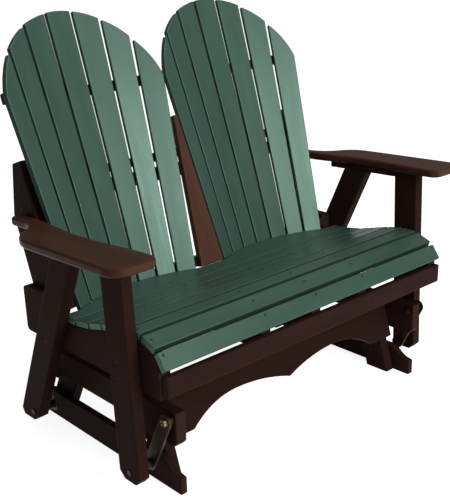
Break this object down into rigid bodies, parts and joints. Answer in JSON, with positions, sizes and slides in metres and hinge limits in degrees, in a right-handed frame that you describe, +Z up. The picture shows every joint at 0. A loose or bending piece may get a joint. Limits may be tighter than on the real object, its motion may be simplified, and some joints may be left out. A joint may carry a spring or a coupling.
{
  "type": "glider bench",
  "caption": "Garden glider bench with fan-shaped slatted backs and flat arms, swinging fore and aft on flat links from a splayed base on runners.",
  "frame": {"origin": "on the floor, midway between the sides and between front and back", "axes": "+X across the seat, to the right as seen from the front, +Y from front to back, +Z up"},
  "size_m": [1.34, 0.7845, 1.1671],
  "materials": {
    "green_lumber": "satin recycled-plastic lumber, faintly brushed",
    "brown_lumber": "satin recycled-plastic lumber, faintly brushed",
    "hardware": "dark bronze"
  },
  "bodies": {
    "base": {"base_leg_front_left": "brown_lumber", "base_leg_front_right": "brown_lumber", "base_leg_rear_left": "brown_lumber", "base_leg_rear_right": "brown_lumber", "base_rail_left": "brown_lumber", "base_rail_right": "brown_lumber", "rear_board": "brown_lumber", "runner_left": "brown_lumber", "runner_right": "brown_lumber", "scalloped_board": "brown_lumber", "upper_pivot_bolts": "hardware"},
    "front_links": {"front_link_left": "hardware", "front_link_right": "hardware"},
    "rear_links": {"rear_link_left": "hardware", "rear_link_right": "hardware"},
    "seat": {"apron": "brown_lumber", "arm_left": "brown_lumber", "arm_rail_left": "brown_lumber", "arm_rail_right": "brown_lumber", "arm_right": "brown_lumber", "back_slat_left_1": "green_lumber", "back_slat_left_2": "green_lumber", "back_slat_left_3": "green_lumber", "back_slat_left_4": "green_lumber", "back_slat_left_5": "green_lumber", "back_slat_left_6": "green_lumber", "back_slat_left_7": "green_lumber", "back_slat_right_1": "green_lumber", "back_slat_right_2": "green_lumber", "back_slat_right_3": "green_lumber", "back_slat_right_4": "green_lumber", "back_slat_right_5": "green_lumber", "back_slat_right_6": "green_lumber", "back_slat_right_7": "green_lumber", "centre_post": "brown_lumber", "cross_beam": "brown_lumber", "front_leg_left": "brown_lumber", "front_leg_right": "brown_lumber", "inner_stringer_centre": "brown_lumber", "inner_stringer_left": "brown_lumber", "inner_stringer_right": "brown_lumber", "lower_pivot_bolts": "hardware", "lower_support": "brown_lumber", "middle_support": "brown_lumber", "outer_stringer_left": "brown_lumber", "outer_stringer_right": "brown_lumber", "post_left": "brown_lumber", "post_right": "brown_lumber", "rear_leg_left": "brown_lumber", "rear_leg_right": "brown_lumber", "seat_slat_1": "green_lumber", "seat_slat_2": "green_lumber", "seat_slat_3": "green_lumber", "seat_slat_4": "green_lumber", "seat_slat_5": "green_lumber", "seat_slat_6": "green_lumber", "seat_slat_7": "green_lumber", "seat_slat_8": "green_lumber", "top_support_left": "brown_lumber", "top_support_right": "brown_lumber"}
  },
  "joints": [
    {"name": "front_swing", "type": "hinge", "parent": "base", "child": "front_links", "pos_m": [0, -0.34057, 0.225], "axis": [1, 0, 0], "range_deg": [-12, 12]},
    {"name": "seat_pivot", "type": "hinge", "parent": "front_links", "child": "seat", "pos_m": [0, -0.26736, 0.0749], "axis": [1, 0, 0], "range_deg": [-15.2, 15.2]},
    {"name": "rear_swing", "type": "hinge", "parent": "base", "child": "rear_links", "pos_m": [0, 0.25543, 0.225], "axis": [1, 0, 0], "range_deg": [-11.3, 11.3]}
  ],
  "couplings": [
    {"joint": "seat_pivot", "follows": "front_swing", "ratio": -1.2636},
    {"joint": "rear_swing", "follows": "front_swing", "ratio": 0.9384}
  ]
}
